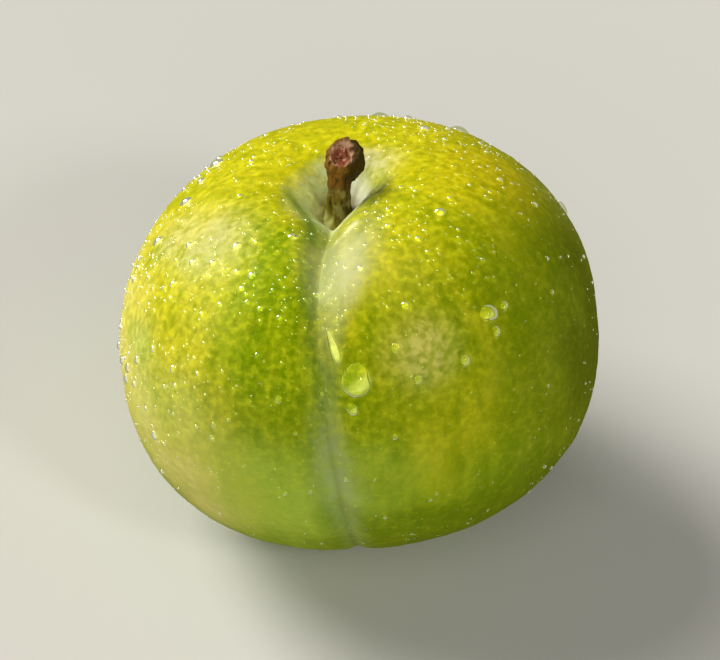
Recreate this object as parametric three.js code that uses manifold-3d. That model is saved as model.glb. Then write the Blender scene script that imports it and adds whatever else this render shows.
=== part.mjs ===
// A whole ripe green plum with its short stem still on.
//
// Millimetres, +Z up. The plum lies on a small flat spot at z = 0, with its
// stem end leaning back (+Y) and its suture, the fold that runs from the stem
// cavity to the style end, facing the front (-Y). The origin is on the
// resting plane, under the middle of the fruit.
//
// The fruit is worked out in its own frame first: the stem axis is +Z and the
// suture lies on the -Y side. It is then turned to the way it rests.

import * as THREE from 'three';
import { mergeVertices } from 'three/addons/utils/BufferGeometryUtils.js';
import Module from 'manifold-3d';

// ---------------------------------------------------------------- dimensions

// fruit body: half axes and how square its profile is (2 is an ellipsoid)
const HALF_WIDTH = 21.55;      // across the two cheeks
const HALF_DEPTH = 20.9;       // from the suture to the back
const HALF_HEIGHT = 17.9;      // stem end to style end, before the cavity
const PROFILE_POWER = 2.33;
const CHEEK_SHEAR = 0.022;     // the right cheek sits a little higher
const AXIS_OFFSET_X = 0.7;     // body centre, measured from the stem axis
const AXIS_OFFSET_Y = 0.3;

// stem cavity: a broad dip with a funnel in it
const DIP_DEPTH = 1.25;
const DIP_RADIUS = 7.6;
const DIP_CENTRE_Y = -1.2;
const FUNNEL_DEPTH = 4.45;
const FUNNEL_RADIUS = 2.75;
const FUNNEL_POWER = 3.2;
const FUNNEL_CENTRE_Y = -0.25;
const FUNNEL_FRONT_STRETCH = 1.06;

// suture, by the angle from the stem axis in radians
const SUTURE_LINE = [[0, -0.15], [0.35, -0.35], [0.9, -0.5], [1.3, -0.15], [1.57, 0.15], [2.0, 0.65], [2.3, 0.75], [2.7, 0.9], [3.15, 0.6]];
const SUTURE_DEPTH = [[0, 0], [0.12, 0.9], [0.3, 2.2], [0.45, 2.3], [0.6, 1.9], [0.9, 1.15], [1.3, 0.8], [1.57, 0.62], [2.2, 0.5], [2.75, 0.5], [2.95, 0.3], [3.15, 0]];
const CREASE_WIDTH = [[0, 1.0], [0.3, 1.5], [0.6, 1.3], [1.2, 0.9], [2.0, 0.85], [3.15, 0.9]];
const VALLEY_WIDTH = [[0, 2.0], [0.3, 3.4], [0.6, 3.8], [1.2, 4.2], [2.0, 3.6], [3.15, 3.0]];

// style end: a shallow dimple with a small raised scar in it
const STYLE_X = 0.7;
const STYLE_Y = -2.2;
const STYLE_DIMPLE = 0.5;
const STYLE_SCAR = 0.28;

// stem: its centre line in the fruit's frame, and its radius along it
const STEM_LINE = [[0.17, 0.08, 12.83], [0.28, -0.08, 14.6], [0.48, -0.34, 16.2], [0.8, -0.66, 18.0], [1.3, -1.1, 19.75]];
const STEM_RADIUS = [[0, 0.8], [0.04, 1.02], [0.1, 1.09], [0.17, 1.04], [0.35, 0.98], [0.51, 1.04], [0.67, 1.22], [0.8, 1.47], [0.91, 1.56], [0.98, 1.46], [1, 1.34]];
const STEM_CUT_SIDE = 0.42;    // the end is broken at a slant: its rise towards +X
const STEM_CUT_BACK = 0.5;     // and towards +Y
const STEM_OVERHANG = 0.42;    // the swelling overhangs on the +X side
const STEM_SIDES = 22;
const STEM_STEPS = 26;
const STEM_END_CUP = 0.3;      // the broken end is slightly hollow

// how the plum rests
const TURN = -5;               // degrees about its own axis
const SIDE_LEAN = -4.5;        // stem end to the left
const BACK_LEAN = -13;         // stem end to the back
const FLAT_DEPTH = 0.4;        // how far the fruit is pressed flat underneath

// mesh: grid lines across, front to back, and from end to end
const GRID = [26, 24, 20];
const GRID_CLOSER = [0.42, 0.5, 1.0];   // line spacing at the middle, 1 is even

// ------------------------------------------------------------------- helpers

// smooth curve through a table of [x, y]
function ramp(table, x) {
  const n = table.length;
  if (x <= table[0][0]) return table[0][1];
  if (x >= table[n - 1][0]) return table[n - 1][1];
  let i = 0;
  while (x > table[i + 1][0]) i++;
  const slope = (k) => {
    const a = table[Math.max(k - 1, 0)], b = table[Math.min(k + 1, n - 1)];
    return (b[1] - a[1]) / (b[0] - a[0]);
  };
  const [x0, y0] = table[i], [x1, y1] = table[i + 1];
  const h = x1 - x0, t = (x - x0) / h, t2 = t * t, t3 = t2 * t;
  return y0 * (2 * t3 - 3 * t2 + 1) + slope(i) * h * (t3 - 2 * t2 + t) + y1 * (3 * t2 - 2 * t3) + slope(i + 1) * h * (t3 - t2);
}

function smoothstep(a, b, x) {
  const t = Math.min(Math.max((x - a) / (b - a), 0), 1);
  return t * t * (3 - 2 * t);
}

function toManifold(wasm, geometry) {
  return new wasm.Manifold(new wasm.Mesh({
    numProp: 3,
    vertProperties: new Float32Array(geometry.attributes.position.array),
    triVerts: new Uint32Array(geometry.index.array),
  }));
}

function fromManifold(solid) {
  const mesh = solid.getMesh();
  const geometry = new THREE.BufferGeometry();
  geometry.setAttribute('position', new THREE.BufferAttribute(new Float32Array(mesh.vertProperties), 3));
  geometry.setIndex(new THREE.BufferAttribute(new Uint32Array(mesh.triVerts), 1));
  return geometry;
}

function positionOnly(geometry) {
  geometry.deleteAttribute('normal');
  geometry.deleteAttribute('uv');
  return mergeVertices(geometry, 1e-5);
}

// --------------------------------------------------------------------- fruit

// the body without its cavity and folds, in the direction u from its middle
function bodyPoint(u) {
  const across = Math.hypot(u.x / HALF_WIDTH, u.y / HALF_DEPTH);
  const r = (across ** PROFILE_POWER + (Math.abs(u.z) / HALF_HEIGHT) ** PROFILE_POWER) ** (-1 / PROFILE_POWER);
  // the cheeks swell unequally
  const swell = 0.9 * u.x * u.z * u.z - u.x * u.x * u.z
    + 0.2 * (4 * u.x ** 3 - 3 * u.x) - 0.2 * (4 * u.z ** 3 - 3 * u.z)
    + 0.3 * u.y * u.y * u.z + 0.16 * Math.sin(3.3 * u.y + 1.1) * Math.cos(2.1 * u.x - 0.3);
  const s = r * (1 + swell / 20);
  return new THREE.Vector3(u.x * s + AXIS_OFFSET_X, u.y * s + AXIS_OFFSET_Y, (u.z + CHEEK_SHEAR * u.x) * s);
}

function bodyNormal(u) {
  const step = 1e-3;
  const side = new THREE.Vector3(0, 0, 1).cross(u);
  if (side.lengthSq() < 1e-6) side.set(1, 0, 0);
  side.normalize();
  const up = u.clone().cross(side);
  const along = (v) => bodyPoint(u.clone().addScaledVector(v, step).normalize()).sub(bodyPoint(u.clone().addScaledVector(v, -step).normalize()));
  return along(side).cross(along(up)).normalize();
}

// how far the real surface lies under the body, at body point p
function featureDepth(p, angle) {
  let depth = 0;
  // stem cavity
  const top = smoothstep(2, 12, p.z);
  const dip = Math.hypot(p.x, p.y - DIP_CENTRE_Y);
  const fy = p.y - FUNNEL_CENTRE_Y;
  const funnel = Math.hypot(p.x, fy < 0 ? fy / FUNNEL_FRONT_STRETCH : fy);
  depth += top * (DIP_DEPTH * Math.exp(-((dip / DIP_RADIUS) ** 2)) + FUNNEL_DEPTH / (1 + (funnel / FUNNEL_RADIUS) ** FUNNEL_POWER));
  // suture: a narrow crease in a shallow valley, on the front only
  const front = 1 / (1 + Math.exp(Math.min(Math.max((p.y - 0.2) / 0.55, -50), 50)));
  const off = p.x - ramp(SUTURE_LINE, angle);
  const crease = Math.exp(-(Math.abs(off / ramp(CREASE_WIDTH, angle)) ** 1.5));
  const valley = Math.exp(-((off / ramp(VALLEY_WIDTH, angle)) ** 2));
  depth += front * ramp(SUTURE_DEPTH, angle) * (0.62 * crease + 0.38 * valley);
  // style end
  const bottom = smoothstep(-2, -12, p.z);
  const style = Math.hypot(p.x - STYLE_X, p.y - STYLE_Y);
  depth += bottom * (STYLE_DIMPLE * Math.exp(-((style / 2.6) ** 2)) - STYLE_SCAR * Math.exp(-((style / 0.7) ** 2)));
  return depth;
}

function fruitPoint(u) {
  const p = bodyPoint(u);
  const depth = featureDepth(p, Math.acos(Math.min(Math.max(u.z, -1), 1)));
  return p.addScaledVector(bodyNormal(u), -depth);
}

// a box's grid blown up onto the fruit, its lines closer together at the
// suture and the cavity, with the middle line laid along the suture
function fruitGeometry() {
  const geometry = positionOnly(new THREE.BoxGeometry(2, 2, 2, ...GRID));
  const position = geometry.attributes.position;
  const spread = (v, k) => Math.tan((k * v + (1 - k) * v ** 3) * Math.PI / 4);
  const u = new THREE.Vector3();
  for (let i = 0; i < position.count; i++) {
    u.set(spread(position.getX(i), GRID_CLOSER[0]), spread(position.getY(i), GRID_CLOSER[1]), spread(position.getZ(i), GRID_CLOSER[2])).normalize();
    const angle = Math.acos(u.z);
    const shift = (ramp(SUTURE_LINE, angle) - AXIS_OFFSET_X) / HALF_WIDTH;
    u.x += shift * smoothstep(0.2, -0.3, u.y) * (1 - u.x * u.x) ** 3;
    const p = fruitPoint(u.normalize());
    position.setXYZ(i, p.x, p.y, p.z);
  }
  return geometry;
}

// ---------------------------------------------------------------------- stem

// a cylinder bent along the stem's line, thin at the neck and swollen where
// it broke from the spur
function stemGeometry() {
  const line = new THREE.CatmullRomCurve3(STEM_LINE.map((p) => new THREE.Vector3(...p)));
  const geometry = positionOnly(new THREE.CylinderGeometry(1, 1, 1, STEM_SIDES, STEM_STEPS));
  const position = geometry.attributes.position;
  const endTangent = line.getTangentAt(1);
  const endSide = new THREE.Vector3(1, 0, 0).addScaledVector(endTangent, -endTangent.x).normalize();
  const endBack = endTangent.clone().cross(endSide);
  for (let i = 0; i < position.count; i++) {
    const x = position.getX(i), z = position.getZ(i);
    const t = Math.min(Math.max(position.getY(i) + 0.5, 0), 1);
    const centre = line.getPointAt(t);
    const tangent = line.getTangentAt(t);
    const side = new THREE.Vector3(1, 0, 0).addScaledVector(tangent, -tangent.x).normalize();
    const back = tangent.clone().cross(side);
    const round = Math.hypot(x, z);
    const azimuth = Math.atan2(-z, x);
    // the swollen end is a little lopsided
    const oval = 1 + smoothstep(0.45, 0.89, t) * (0.08 * Math.cos(azimuth - 0.6) + 0.07 * Math.cos(2 * azimuth + 0.4) + 0.045 * Math.sin(3 * azimuth + 1.1));
    const overhang = STEM_OVERHANG * Math.exp(-((azimuth / 0.85) ** 2)) * smoothstep(0.55, 0.68, t) * smoothstep(0.975, 0.79, t);
    const radius = (ramp(STEM_RADIUS, t) * oval + overhang) * round;
    const across = side.multiplyScalar(radius * Math.cos(azimuth)).addScaledVector(back, radius * Math.sin(azimuth));
    // the slant grows over the last part, so the swelling leans with it
    const rise = (across.dot(endSide) * STEM_CUT_SIDE + across.dot(endBack) * STEM_CUT_BACK) * smoothstep(0.58, 1, t) ** 1.5;
    const cup = round < 0.5 && t > 0.99 ? STEM_END_CUP : 0;
    const p = centre.add(across).addScaledVector(endTangent, rise - cup);
    position.setXYZ(i, p.x, p.y, p.z);
  }
  return geometry;
}

// ---------------------------------------------------------------------- pose

const rad = THREE.MathUtils.degToRad;
const pose = new THREE.Matrix4().makeRotationX(rad(BACK_LEAN))
  .multiply(new THREE.Matrix4().makeRotationY(rad(SIDE_LEAN)))
  .multiply(new THREE.Matrix4().makeRotationZ(rad(TURN)));

const fruit = fruitGeometry().applyMatrix4(pose);
const stem = stemGeometry().applyMatrix4(pose);

// stand it on z = 0, pressed in by the depth of the flat spot, and centre it
fruit.computeBoundingBox();
const middle = fruit.boundingBox.getCenter(new THREE.Vector3());
const drop = [-middle.x, -middle.y, -fruit.boundingBox.min.z - FLAT_DEPTH];
fruit.translate(...drop);
stem.translate(...drop);

// keep the fruit's own corners clear of the cutting plane
const corners = fruit.attributes.position;
for (let i = 0; i < corners.count; i++) {
  if (Math.abs(corners.getZ(i)) < 0.03) corners.setZ(i, -0.03);
}

// cut the flat spot
const wasm = await Module();
wasm.setup();
const below = positionOnly(new THREE.BoxGeometry(80, 80, 10)).translate(0, 0, -5);
const rested = fromManifold(toManifold(wasm, fruit).subtract(toManifold(wasm, below)));

// ------------------------------------------------------------------ assembly

const plum = new THREE.Group();

const fruitMesh = new THREE.Mesh(rested, new THREE.MeshStandardMaterial({ color: 0x9db01c, roughness: 0.38, metalness: 0 }));
fruitMesh.name = 'fruit';
plum.add(fruitMesh);

const stemMesh = new THREE.Mesh(stem, new THREE.MeshStandardMaterial({ color: 0x5a3a1c, roughness: 0.8, metalness: 0 }));
stemMesh.name = 'stem';
plum.add(stemMesh);

export default plum;
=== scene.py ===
import math

import bpy
import numpy as np
from mathutils import Matrix, Vector


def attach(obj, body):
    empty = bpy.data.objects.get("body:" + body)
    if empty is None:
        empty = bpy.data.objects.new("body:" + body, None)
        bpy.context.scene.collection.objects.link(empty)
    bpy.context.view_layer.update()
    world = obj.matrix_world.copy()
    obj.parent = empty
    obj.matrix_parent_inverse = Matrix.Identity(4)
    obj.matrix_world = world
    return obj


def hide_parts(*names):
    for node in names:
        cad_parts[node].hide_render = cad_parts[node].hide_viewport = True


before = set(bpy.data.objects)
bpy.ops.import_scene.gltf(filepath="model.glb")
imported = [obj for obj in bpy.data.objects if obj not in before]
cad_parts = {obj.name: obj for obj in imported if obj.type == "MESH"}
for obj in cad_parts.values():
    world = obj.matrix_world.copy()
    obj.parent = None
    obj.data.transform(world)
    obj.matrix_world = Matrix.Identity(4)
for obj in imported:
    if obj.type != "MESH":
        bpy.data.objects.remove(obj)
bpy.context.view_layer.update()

# Lengths below are in millimetres until the meshes are made, and the fruit is
# worked out in its own frame: stem axis +Z, suture on the -Y side. It is then
# turned the way it rests. MM turns millimetres into metres.
MM = 0.001
rng = np.random.default_rng(20417)


# ---------------------------------------------------------------- the camera

TARGET = Vector((0.0, 0.0, 0.0185))
ELEVATION = math.radians(45)
DISTANCE = 0.45

camera_data = bpy.data.cameras.new("camera")
camera_data.lens = 250
camera_data.sensor_width = 36
camera_data.clip_start = 0.01
camera_data.clip_end = 20
camera = bpy.data.objects.new("camera", camera_data)
bpy.context.scene.collection.objects.link(camera)
camera.location = TARGET + Vector((0, -math.cos(ELEVATION), math.sin(ELEVATION))) * DISTANCE
camera.rotation_euler = (math.pi / 2 - ELEVATION, 0, 0)
bpy.context.scene.camera = camera


# ------------------------------------------------------- the fruit's surface

HALF_WIDTH, HALF_DEPTH, HALF_HEIGHT, PROFILE_POWER = 21.55, 20.9, 17.9, 2.33
CHEEK_SHEAR, AXIS_OFFSET_X, AXIS_OFFSET_Y = 0.022, 0.7, 0.3
DIP_DEPTH, DIP_RADIUS, DIP_CENTRE_Y = 1.25, 7.6, -1.2
FUNNEL_DEPTH, FUNNEL_RADIUS, FUNNEL_POWER = 4.45, 2.75, 3.2
FUNNEL_CENTRE_Y, FUNNEL_FRONT_STRETCH = -0.25, 1.06
SUTURE_LINE = [[0, -0.15], [0.35, -0.35], [0.9, -0.5], [1.3, -0.15], [1.57, 0.15], [2.0, 0.65], [2.3, 0.75], [2.7, 0.9], [3.15, 0.6]]
SUTURE_DEPTH = [[0, 0], [0.12, 0.9], [0.3, 2.2], [0.45, 2.3], [0.6, 1.9], [0.9, 1.15], [1.3, 0.8], [1.57, 0.62], [2.2, 0.5], [2.75, 0.5], [2.95, 0.3], [3.15, 0]]
CREASE_WIDTH = [[0, 1.0], [0.3, 1.5], [0.6, 1.3], [1.2, 0.9], [2.0, 0.85], [3.15, 0.9]]
VALLEY_WIDTH = [[0, 2.0], [0.3, 3.4], [0.6, 3.8], [1.2, 4.2], [2.0, 3.6], [3.15, 3.0]]
STYLE_X, STYLE_Y, STYLE_DIMPLE, STYLE_SCAR = 0.7, -2.2, 0.5, 0.28
TURN, SIDE_LEAN, BACK_LEAN, FLAT_DEPTH = -5, -4.5, -13, 0.4
GRID = (136, 128, 108)
GRID_CLOSER = (0.42, 0.5, 1.0)


def ramp(table, x):
    """Smooth curve through a table of [x, y], the same as the CAD's."""
    t = np.array(table, float)
    X, Y = t[:, 0], t[:, 1]
    m = np.empty(len(X))
    m[1:-1] = (Y[2:] - Y[:-2]) / (X[2:] - X[:-2])
    m[0] = (Y[1] - Y[0]) / (X[1] - X[0])
    m[-1] = (Y[-1] - Y[-2]) / (X[-1] - X[-2])
    x = np.clip(x, X[0], X[-1])
    i = np.clip(np.searchsorted(X, x, side="left") - 1, 0, len(X) - 2)
    h = X[i + 1] - X[i]
    s = (x - X[i]) / h
    return Y[i] * (2 * s**3 - 3 * s**2 + 1) + m[i] * h * (s**3 - 2 * s**2 + s) + Y[i + 1] * (3 * s**2 - 2 * s**3) + m[i + 1] * h * (s**3 - s**2)


def smoothstep(a, b, x):
    t = np.clip((x - a) / (b - a), 0, 1)
    return t * t * (3 - 2 * t)


def unit(v):
    return v / np.maximum(np.linalg.norm(v, axis=-1, keepdims=True), 1e-12)


class Noise:
    """Smooth seeded noise: a sum of random plane waves, roughly from -1 to 1."""

    def __init__(self, wavelength, count=24, spread=0.45, seed=1):
        r = np.random.default_rng(seed)
        d = unit(r.normal(size=(count, 3)))
        f = 2 * np.pi / (wavelength * (1 + spread * r.uniform(-1, 1, count)))
        self.k = d * f[:, None]
        self.phase = r.uniform(0, 2 * np.pi, count)
        self.scale = 1.35 / math.sqrt(count)

    def __call__(self, p):
        return np.sin(p @ self.k.T + self.phase).sum(-1) * self.scale


swell_a = Noise(14, seed=3)
swell_b = Noise(5.5, seed=4)
swell_c = Noise(2.4, seed=5)
pebble = Noise(1.2, count=40, seed=7)
crease_wander = Noise(6, seed=6)


def body_point(u):
    ux, uy, uz = u[..., 0], u[..., 1], u[..., 2]
    across = np.sqrt((ux / HALF_WIDTH) ** 2 + (uy / HALF_DEPTH) ** 2)
    r = (across**PROFILE_POWER + (np.abs(uz) / HALF_HEIGHT) ** PROFILE_POWER) ** (-1 / PROFILE_POWER)
    swell = 0.9 * ux * uz * uz - ux * ux * uz + 0.2 * (4 * ux**3 - 3 * ux) - 0.2 * (4 * uz**3 - 3 * uz)
    swell = swell + 0.3 * uy * uy * uz + 0.16 * np.sin(3.3 * uy + 1.1) * np.cos(2.1 * ux - 0.3)
    s = r * (1 + swell / 20)
    return np.stack([ux * s + AXIS_OFFSET_X, uy * s + AXIS_OFFSET_Y, (uz + CHEEK_SHEAR * ux) * s], -1)


def body_normal(u):
    step = 1e-3
    side = np.stack([-u[..., 1], u[..., 0], np.zeros_like(u[..., 0])], -1)
    near_axis = np.linalg.norm(side, axis=-1) < 1e-3
    side[near_axis] = (1, 0, 0)
    side = unit(side)
    up = np.cross(u, side)

    def along(v):
        return body_point(unit(u + v * step)) - body_point(unit(u - v * step))

    return unit(np.cross(along(side), along(up)))


def feature_depth(p, angle):
    x, y, z = p[..., 0], p[..., 1], p[..., 2]
    top = smoothstep(2, 12, z)
    dip = np.hypot(x, y - DIP_CENTRE_Y)
    fy = y - FUNNEL_CENTRE_Y
    funnel = np.hypot(x, np.where(fy < 0, fy / FUNNEL_FRONT_STRETCH, fy))
    depth = top * (DIP_DEPTH * np.exp(-((dip / DIP_RADIUS) ** 2)) + FUNNEL_DEPTH / (1 + (funnel / FUNNEL_RADIUS) ** FUNNEL_POWER))
    front = 1 / (1 + np.exp(np.clip((y - 0.2) / 0.55, -50, 50)))
    off = x - ramp(SUTURE_LINE, angle)
    crease = np.exp(-(np.abs(off / ramp(CREASE_WIDTH, angle)) ** 1.5))
    valley = np.exp(-((off / ramp(VALLEY_WIDTH, angle)) ** 2))
    depth = depth + front * ramp(SUTURE_DEPTH, angle) * (0.62 * crease + 0.38 * valley)
    bottom = smoothstep(-2, -12, z)
    style = np.hypot(x - STYLE_X, y - STYLE_Y)
    return depth + bottom * (STYLE_DIMPLE * np.exp(-((style / 2.6) ** 2)) - STYLE_SCAR * np.exp(-((style / 0.7) ** 2)))


FOLD_LINE = [[6.2, 0.3], [5.6, 0.0], [4.9, -0.5], [4.3, -1.0], [3.7, -1.4], [3.2, -2.0], [2.8, -2.7], [2.4, -3.4], [2.1, -4.2]]
RIM_LINE = [[-4.3, 1.0], [-4.1, -0.4], [-3.7, -1.3], [-3.1, -2.1], [-2.6, -3.1], [-2.1, -4.0], [-1.75, -5.0], [-1.5, -6.7], [-1.3, -8.1], [-1.35, -9.6]]


def line_distance(line, x, y, z):
    """How far a point near the stem end is from a line drawn over it."""
    far = np.full(np.shape(x), 99.0)
    for (ax, ay), (bx, by) in zip(line[:-1], line[1:]):
        t = np.clip(((x - ax) * (bx - ax) + (y - ay) * (by - ay)) / ((bx - ax) ** 2 + (by - ay) ** 2), 0, 1)
        far = np.minimum(far, np.hypot(x - ax - t * (bx - ax), y - ay - t * (by - ay)))
    return np.where(z > 8, far, 99.0)


def fine_depth(p, angle):
    """What the CAD solid is too coarse for: the crease's sharp bottom, the folds in the cavity, and the skin's own unevenness."""
    x, y, z = p[..., 0], p[..., 1], p[..., 2]
    front = smoothstep(1.0, -1.5, y)
    off = x - ramp(SUTURE_LINE, angle) - 0.12 * crease_wander(p)
    sharp = ramp([[0, 0], [0.25, 0.12], [0.6, 0.16], [1.2, 0.12], [1.7, 0.06], [2.3, 0.05], [2.9, 0.06], [3.15, 0]], angle)
    depth = front * sharp * np.exp(-((off / 0.42) ** 2))
    # the right lip of the suture stands a little proud of the left one
    lip = ramp([[0, 0], [0.3, 0.1], [0.7, 0.22], [1.3, 0.16], [1.8, 0.05], [2.3, 0], [3.15, 0]], angle)
    depth = depth - front * lip * np.exp(-(((off - 1.9) / 1.5) ** 2))
    # folds running down into the stem cavity
    rho = np.hypot(x, y)
    azimuth = np.arctan2(y, x)
    folds = np.sin(11 * azimuth + 0.7 * np.sin(2 * azimuth)) + 0.6 * np.sin(17 * azimuth + 1.9)
    in_cavity = smoothstep(3, 10, z) * np.exp(-(((rho - 2.6) / 1.3) ** 2))
    depth = depth + 0.065 * folds * in_cavity
    # a broad slope on the right of the suture just below the cavity, and a steeper left wall
    slope = np.exp(-(((angle - 0.70) / 0.30) ** 2)) * front
    depth = depth + slope * np.where(off > 0, 0.55 * np.exp(-((off / 4.6) ** 2)), 0.55 * np.exp(-((off / 1.6) ** 2)))
    depth = depth - 0.42 * slope * np.exp(-((np.abs(off) / 1.3) ** 1.5))
    # one deeper fold in the cavity's right wall
    fold = line_distance(FOLD_LINE, x, y, z)
    depth = depth + 0.20 * np.exp(-((fold / 0.32) ** 2)) * smoothstep(2.8, 3.5, x) * smoothstep(6.0, 4.8, x)
    # the rim in front of it stands a little higher
    depth = depth - 0.35 * np.exp(-(((x - 2.5) / 1.3) ** 2) - ((y + 2.4) / 1.3) ** 2) * smoothstep(6, 11, z)
    # and a shallow fold along the left rim
    depth = depth + 0.10 * np.exp(-((line_distance(RIM_LINE, x, y, z) / 0.45) ** 2))
    depth = depth + 0.05 * swell_a(p) + 0.022 * swell_b(p) + 0.010 * swell_c(p) + 0.012 * pebble(p)
    return depth


def fruit_point(u, fine=True):
    p = body_point(u)
    angle = np.arccos(np.clip(u[..., 2], -1, 1))
    depth = feature_depth(p, angle)
    if fine:
        depth = depth + fine_depth(p, angle)
    return p - body_normal(u) * depth[..., None]


def turn(axis, degrees):
    return np.array(Matrix.Rotation(math.radians(degrees), 3, axis))


POSE = turn("X", BACK_LEAN) @ turn("Y", SIDE_LEAN) @ turn("Z", TURN)


def box_grid(nx, ny, nz):
    """Corners of a box's grid, from -1 to 1, each once, and its quads facing out."""
    faces = []
    for axis, side in ((0, 0), (0, 1), (1, 0), (1, 1), (2, 0), (2, 1)):
        n = [nx, ny, nz]
        a, b = [i for i in range(3) if i != axis]
        ia, ib = np.meshgrid(np.arange(n[a] + 1), np.arange(n[b] + 1), indexing="ij")
        ijk = np.zeros(ia.shape + (3,), int)
        ijk[..., a], ijk[..., b], ijk[..., axis] = ia, ib, side * n[axis]
        key = (ijk[..., 0] * (ny + 1) + ijk[..., 1]) * (nz + 1) + ijk[..., 2]
        q = np.stack([key[:-1, :-1], key[1:, :-1], key[1:, 1:], key[:-1, 1:]], -1).reshape(-1, 4)
        # (a, b) is right-handed with the axis for X and Z, and left-handed for Y
        outward = (axis != 1) == bool(side)
        faces.append(q if outward else q[:, ::-1])
    quads = np.concatenate(faces)
    keys, inverse = np.unique(quads, return_inverse=True)
    ijk = np.stack([keys // ((ny + 1) * (nz + 1)), keys // (nz + 1) % (ny + 1), keys % (nz + 1)], -1)
    return 2 * ijk / np.array([nx, ny, nz]) - 1, inverse.reshape(quads.shape)


def fruit_directions(grid):
    c, quads = box_grid(*grid)
    k = np.array(GRID_CLOSER)
    u = unit(np.tan((k * c + (1 - k) * c**3) * np.pi / 4))
    shift = (ramp(SUTURE_LINE, np.arccos(u[:, 2])) - AXIS_OFFSET_X) / HALF_WIDTH
    u[:, 0] += shift * smoothstep(0.2, -0.3, u[:, 1]) * (1 - u[:, 0] ** 2) ** 3
    return unit(u), quads


def make_mesh(name, verts, *groups, smooth=True):
    """A mesh object from vertices in metres and arrays of faces, each array with its own number of corners."""
    groups = [np.asarray(g, np.int32) for g in groups if len(g)]
    sizes = np.concatenate([np.full(len(g), g.shape[1], np.int32) for g in groups])
    mesh = bpy.data.meshes.new(name)
    mesh.vertices.add(len(verts))
    mesh.vertices.foreach_set("co", np.asarray(verts, np.float32).ravel())
    mesh.loops.add(int(sizes.sum()))
    mesh.loops.foreach_set("vertex_index", np.concatenate([g.ravel() for g in groups]))
    mesh.polygons.add(len(sizes))
    mesh.polygons.foreach_set("loop_start", np.concatenate([[0], np.cumsum(sizes)[:-1]]).astype(np.int32))
    mesh.polygons.foreach_set("use_smooth", np.full(len(sizes), smooth))
    mesh.update(calc_edges=True)
    mesh.validate()
    obj = bpy.data.objects.new(name, mesh)
    bpy.context.scene.collection.objects.link(obj)
    return obj


def put(mesh, name, values, kind="FLOAT"):
    """Stores one value, or one vector, for each vertex."""
    made = mesh.attributes.new(name, kind, "POINT")
    made.data.foreach_set("value" if kind == "FLOAT" else "vector", np.asarray(values, np.float32).ravel())


directions, quads = fruit_directions(GRID)
fruit_own = fruit_point(directions)            # in the fruit's own frame, mm

# where the CAD stands it: on z = 0, pressed in by the flat spot, centred
plain = fruit_point(directions, fine=False) @ POSE.T
low, high = plain.min(0), plain.max(0)
SHIFT = np.array([-(low[0] + high[0]) / 2, -(low[1] + high[1]) / 2, -low[2] - FLAT_DEPTH])


def rest(p):
    """From the fruit's own frame to where it lies, both in mm."""
    return p @ POSE.T + SHIFT


def press_flat(p):
    """The skin flattens where it meets the surface, and rounds off around the spot."""
    z = p[..., 2]
    soft = 0.12
    out = p.copy()
    out[..., 2] = np.where(z < soft, np.maximum(0, (z + soft) ** 2 / (4 * soft)), z)
    out[..., 2] = np.where(z < -soft, 0, out[..., 2])
    return out


fruit_rest = press_flat(rest(fruit_own))
fruit = make_mesh("fruit_skin", fruit_rest * MM, quads)


# ------------------------------------------------------- what the skin shows

ux, uy, uz = directions.T
x, y, z = fruit_own.T
angle = np.arccos(np.clip(uz, -1, 1))
rho = np.hypot(x, y)
off_suture = x - ramp(SUTURE_LINE, angle)
on_front = smoothstep(1.5, -2.0, y)
patch = Noise(16, seed=11)(fruit_own)
patch_b = Noise(9, seed=12)(fruit_own)

# ripe yellow: the shoulders round the cavity and the left flank, with a green band left of the suture
green_band = np.exp(-(((off_suture + 4.0) / 3.8) ** 2)) * on_front * smoothstep(0.97, 0.84, uz)
rightward = (0.28 + 0.18 * smoothstep(-0.15, -0.50, uy)) * np.maximum(ux, 0)
shoulders = smoothstep(0.20, 0.82, uz - rightward + 0.10 * patch) - 0.88 * green_band
flank = smoothstep(0.34, 0.84, -ux + 0.04 * patch_b) * smoothstep(-0.05, 0.48, uz)
yellow = np.maximum(shoulders, flank)
yellow = np.maximum(yellow, 0.34 * np.exp(-((np.linalg.norm(directions - unit(np.array([0.54, -0.83, 0.12])), axis=1) / 0.27) ** 2)))
yellow = np.maximum(yellow, 0.50 * np.exp(-((np.linalg.norm(directions - unit(np.array([0.25, -0.83, 0.50])), axis=1) / 0.20) ** 2)))
yellow = yellow + 0.16 * np.exp(-((np.linalg.norm(directions - unit(np.array([0.22, -0.94, 0.26])), axis=1) / 0.20) ** 2))
yellow = yellow + 0.20 * np.exp(-((np.linalg.norm(directions - unit(np.array([0.62, -0.67, 0.40])), axis=1) / 0.30) ** 2))
yellow = yellow - 0.32 * np.exp(-((np.linalg.norm(directions - unit(np.array([0.28, -0.24, 0.93])), axis=1) / 0.18) ** 2))
yellow = yellow - 0.28 * np.exp(-((np.linalg.norm(directions - unit(np.array([0.46, -0.50, 0.73])), axis=1) / 0.15) ** 2))
yellow = np.clip(yellow + 0.08 * patch_b, 0, 1)
# deeper olive green: the right cheek
golden = 0.75 * np.exp(-((np.linalg.norm(directions - unit(np.array([0.64, 0.12, 0.76])), axis=1) / 0.32) ** 2))
olive = smoothstep(0.54, 1.0, ux + 0.08 * patch) * smoothstep(0.80, 0.35, uz)
olive = np.clip(olive + 0.6 * smoothstep(0.1, 0.8, uy + 0.15 * patch) * smoothstep(0.5, -0.1, uz), 0, 1)
# paler, greyer green: low down, most of all left of the suture
pale = smoothstep(0.16, -0.22, uz + 0.30 * ux + 0.05 * patch_b) * (1 - 0.85 * smoothstep(-0.02, 0.38, ux + 0.05 * patch_b) * smoothstep(-0.78, -0.50, uz))
pale = np.maximum(pale, smoothstep(-0.60, -0.97, uz))
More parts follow.
